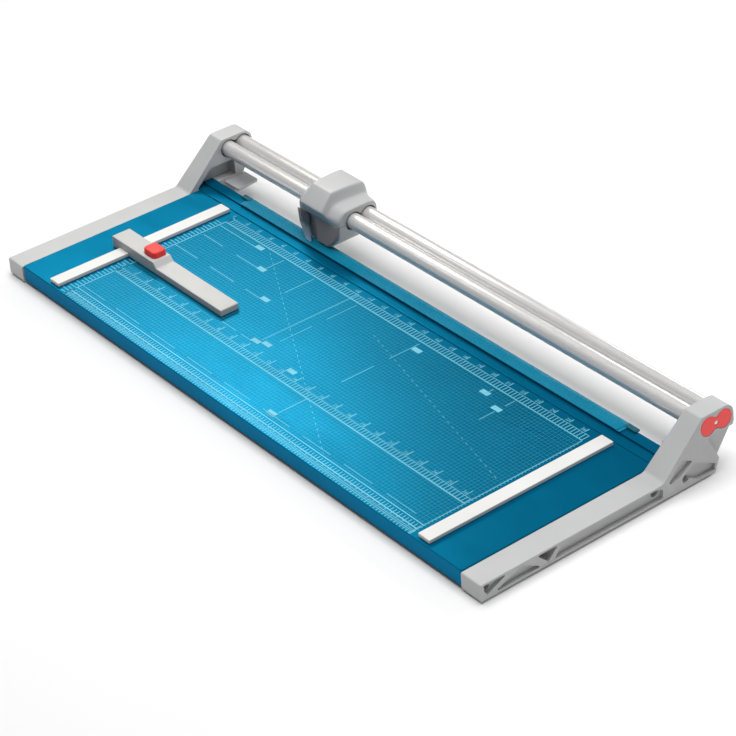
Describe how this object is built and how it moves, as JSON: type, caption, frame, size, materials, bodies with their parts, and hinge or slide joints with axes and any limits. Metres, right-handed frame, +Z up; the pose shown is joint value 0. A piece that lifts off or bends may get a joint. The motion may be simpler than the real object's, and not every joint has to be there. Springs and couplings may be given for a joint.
{
  "type": "rotary paper trimmer",
  "caption": "Long paper trimmer: ruled blue table between raked end frames, cutter head with a round blade sliding on twin tubes, clear clamp strip, side stops and a sliding backstop.",
  "frame": {"origin": "on the floor, below the centre of the overall box", "axes": "+X to the right along the guide tubes, +Y from the front edge to the back, +Z up"},
  "size_m": [0.915, 0.362, 0.1015],
  "materials": {
    "frame_grey": "moulded light grey, satin",
    "table_blue": "blue powder coat with a pale printed grid",
    "ivory": "satin",
    "backstop_grey": "satin",
    "signal_red": "satin gloss",
    "housing_grey": "satin",
    "bright_tube": "polished",
    "blade_steel": "ground",
    "zinc_steel": "zinc plated",
    "clear_plastic": "clear plastic",
    "black_plastic": "moulded",
    "rubber": "moulded"
  },
  "bodies": {
    "base": {"clamp_clip_left": "zinc_steel", "clamp_clip_right": "zinc_steel", "foot_front_left": "rubber", "foot_front_right": "rubber", "foot_rear_left": "rubber", "foot_rear_right": "rubber", "front_guide_tube": "bright_tube", "front_stiffener": "zinc_steel", "left_end_frame": "frame_grey", "left_end_plug": "signal_red", "left_front_frame_screw": "zinc_steel", "left_middle_frame_screw": "zinc_steel", "left_plug_screw": "zinc_steel", "left_rear_frame_screw": "zinc_steel", "left_stop_bar": "ivory", "lift_spring_left": "zinc_steel", "lift_spring_right": "zinc_steel", "lower_blade": "blade_steel", "lower_blade_screw_1": "zinc_steel", "lower_blade_screw_2": "zinc_steel", "lower_blade_screw_3": "zinc_steel", "lower_blade_screw_4": "zinc_steel", "lower_blade_screw_5": "zinc_steel", "rear_bar": "table_blue", "rear_guide_tube": "bright_tube", "rear_stiffener": "zinc_steel", "right_end_frame": "frame_grey", "right_end_plug": "signal_red", "right_front_frame_screw": "zinc_steel", "right_middle_frame_screw": "zinc_steel", "right_plug_screw": "zinc_steel", "right_rear_frame_screw": "zinc_steel", "right_stop_bar": "ivory", "stop_screw_left_front": "zinc_steel", "stop_screw_left_rear": "zinc_steel", "stop_screw_right_front": "zinc_steel", "stop_screw_right_rear": "zinc_steel", "table": "table_blue"},
    "cutter_head": {"head_hood": "frame_grey", "blade_housing": "housing_grey", "blade_guard": "clear_plastic", "rail_bush_left": "black_plastic", "rail_bush_right": "black_plastic", "blade_axle": "zinc_steel", "blade_carrier": "zinc_steel", "pressure_washer": "zinc_steel", "pressure_pad": "black_plastic"},
    "blade": {"round_blade": "blade_steel", "blade_hub": "black_plastic"},
    "strip": {"clamp_strip": "clear_plastic"},
    "backstop": {"backstop_arm": "backstop_grey", "backstop_shoe": "rubber", "button_spring": "zinc_steel"},
    "button": {"release_button": "signal_red"}
  },
  "joints": [
    {"name": "head_slide", "type": "slide", "parent": "base", "child": "cutter_head", "axis": [1, 0, 0], "range_m": [-0.1795, 0.5885]},
    {"name": "blade_spin", "type": "hinge", "parent": "cutter_head", "child": "blade", "pos_m": [-0.2045, 0.1263, 0.0506], "axis": [0, 1, 0], "continuous": true},
    {"name": "clamp_press", "type": "slide", "parent": "base", "child": "strip", "axis": [0, 0, 1], "range_m": [-0.0008, 0], "stiffness_N_per_m": 8000, "deforming": ["lift_spring_left", "lift_spring_right"]},
    {"name": "backstop_slide", "type": "slide", "parent": "base", "child": "backstop", "axis": [0, 1, 0], "range_m": [-0.1, 0.125]},
    {"name": "button_press", "type": "slide", "parent": "backstop", "child": "button", "axis": [0, 0, 1], "range_m": [-0.003, 0], "stiffness_N_per_m": 1500, "deforming": ["button_spring"]}
  ],
  "couplings": [
    {"joint": "blade_spin", "follows": "head_slide", "rad_per_m": 35.714}
  ]
}
